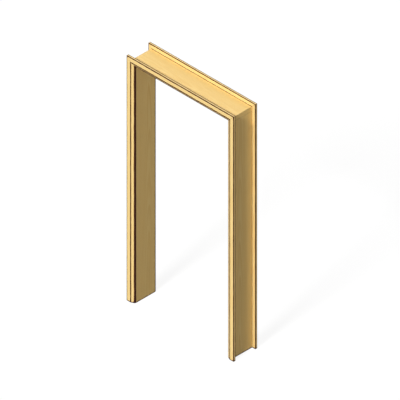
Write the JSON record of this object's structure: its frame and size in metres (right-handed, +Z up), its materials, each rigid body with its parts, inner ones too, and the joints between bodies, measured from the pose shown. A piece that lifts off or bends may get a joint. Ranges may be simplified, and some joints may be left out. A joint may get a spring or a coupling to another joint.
{
  "type": "door frame",
  "caption": "Timber door frame: a deep lining for a wall opening, with splayed, mitred casings on both wall faces and no leaf.",
  "frame": {"origin": "on the floor, midway between the jambs and midway through the wall", "axes": "+X across the opening to the right as seen from the front, +Y through the wall away from the front casing, +Z up"},
  "size_m": [1.076, 0.238, 2.132],
  "materials": {
    "lining_timber": "satin clear-finished pale golden timber",
    "casing_timber": "satin clear-finished pale golden timber"
  },
  "bodies": {
    "root": {"left_jamb_lining": "lining_timber", "right_jamb_lining": "lining_timber", "head_lining": "lining_timber", "front_casing_left": "casing_timber", "front_casing_right": "casing_timber", "front_casing_head": "casing_timber", "rear_casing_left": "casing_timber", "rear_casing_right": "casing_timber", "rear_casing_head": "casing_timber"}
  },
  "joints": []
}
